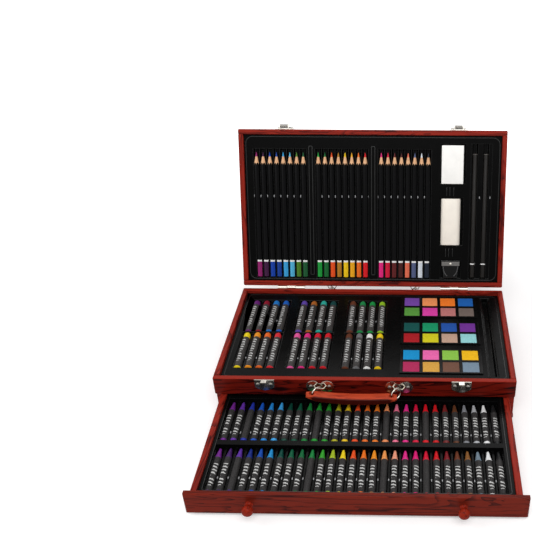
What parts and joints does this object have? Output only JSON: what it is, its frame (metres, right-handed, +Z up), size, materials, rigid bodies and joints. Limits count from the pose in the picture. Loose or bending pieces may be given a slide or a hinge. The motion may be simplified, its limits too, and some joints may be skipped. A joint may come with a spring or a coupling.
{
  "type": "art case with a drawer",
  "caption": "Wooden art case with a hinged tray lid, pastel and paint tray, pull-out crayon drawer, hasp latches and ring handles.",
  "frame": {"origin": "centre of the case's flat underside, on the table", "axes": "+X to the case's right seen from the front, +Y to the hinge side, +Z up"},
  "size_m": [0.381, 0.5471, 0.2677],
  "materials": {
    "case_wood": "satin stained",
    "handle_wood": "satin stained",
    "tray_plastic": "vacuum formed",
    "crayon_wrappers": "paper",
    "pastel_wrappers": "paper",
    "paint": "pressed cake",
    "pencil_barrels": "lacquered",
    "eraser": "matte",
    "ivory_block": "matte",
    "sharpener_plastic": "gloss",
    "nickel": "polished",
    "screws": "plain"
  },
  "bodies": {
    "case": {"case_bottom_board": "case_wood", "case_front_rail": "case_wood", "case_back_board": "case_wood", "case_left_side": "case_wood", "case_right_side": "case_wood", "case_shelf": "case_wood", "case_tray": "tray_plastic", "pastels": "pastel_wrappers", "paint_pans": "tray_plastic", "paint_cakes": "paint", "case_hinge_leaves": "nickel", "hinge_pins": "nickel", "hook_plate_left": "nickel", "hook_plate_right": "nickel", "hook_plate_screws": "screws", "front_eye_plate_left": "nickel", "front_eye_plate_right": "nickel", "front_eye_screws": "screws"},
    "drawer": {"drawer_front": "case_wood", "drawer_left_side": "case_wood", "drawer_right_side": "case_wood", "drawer_back": "case_wood", "drawer_bottom": "case_wood", "drawer_tray": "tray_plastic", "crayons_back_row": "crayon_wrappers", "crayons_front_row": "crayon_wrappers", "knob_left": "case_wood", "knob_right": "case_wood"},
    "lid": {"lid_panel": "case_wood", "lid_hinge_wall": "case_wood", "lid_front_wall": "case_wood", "lid_left_wall": "case_wood", "lid_right_wall": "case_wood", "lid_tray": "tray_plastic", "pencils": "pencil_barrels", "drawing_sticks": "pencil_barrels", "eraser": "eraser", "ivory_block": "ivory_block", "sharpener": "sharpener_plastic", "sharpener_blade": "nickel", "lid_hinge_leaves": "nickel", "latch_plate_left": "nickel", "latch_plate_right": "nickel", "latch_pins": "nickel", "latch_plate_screws": "screws", "back_eye_plate_left": "nickel", "back_eye_plate_right": "nickel", "back_eye_screws": "screws"},
    "hasp_left": {"hasp_left": "nickel"},
    "hasp_right": {"hasp_right": "nickel"},
    "front_handle": {"front_handle_grip": "handle_wood", "front_handle_rings": "nickel"},
    "back_handle": {"back_handle_grip": "handle_wood", "back_handle_rings": "nickel", "back_handle_rivets": "nickel"}
  },
  "joints": [
    {"name": "lid_hinge", "type": "hinge", "parent": "case", "child": "lid", "pos_m": [0, 0.113, 0.05815], "axis": [1, 0, 0], "range_deg": [0, 113.5]},
    {"name": "drawer_slide", "type": "slide", "parent": "case", "child": "drawer", "axis": [0, 1, 0], "range_m": [0, 0.176]},
    {"name": "left_hasp_hinge", "type": "hinge", "parent": "lid", "child": "hasp_left", "pos_m": [-0.1255, 0.20994, 0.26517], "axis": [1, 0, 0], "range_deg": [0, 180]},
    {"name": "right_hasp_hinge", "type": "hinge", "parent": "lid", "child": "hasp_right", "pos_m": [0.1217, 0.20994, 0.26517], "axis": [1, 0, 0], "range_deg": [0, 180]},
    {"name": "front_handle_swing", "type": "hinge", "parent": "case", "child": "front_handle", "pos_m": [-0.0061, -0.1167, 0.048], "axis": [-1, 0, 0], "range_deg": [0, 74]},
    {"name": "back_handle_swing", "type": "hinge", "parent": "lid", "child": "back_handle", "pos_m": [0, 0.13523, 0.04445], "axis": [1, 0, 0], "range_deg": [-48, 24]}
  ]
}
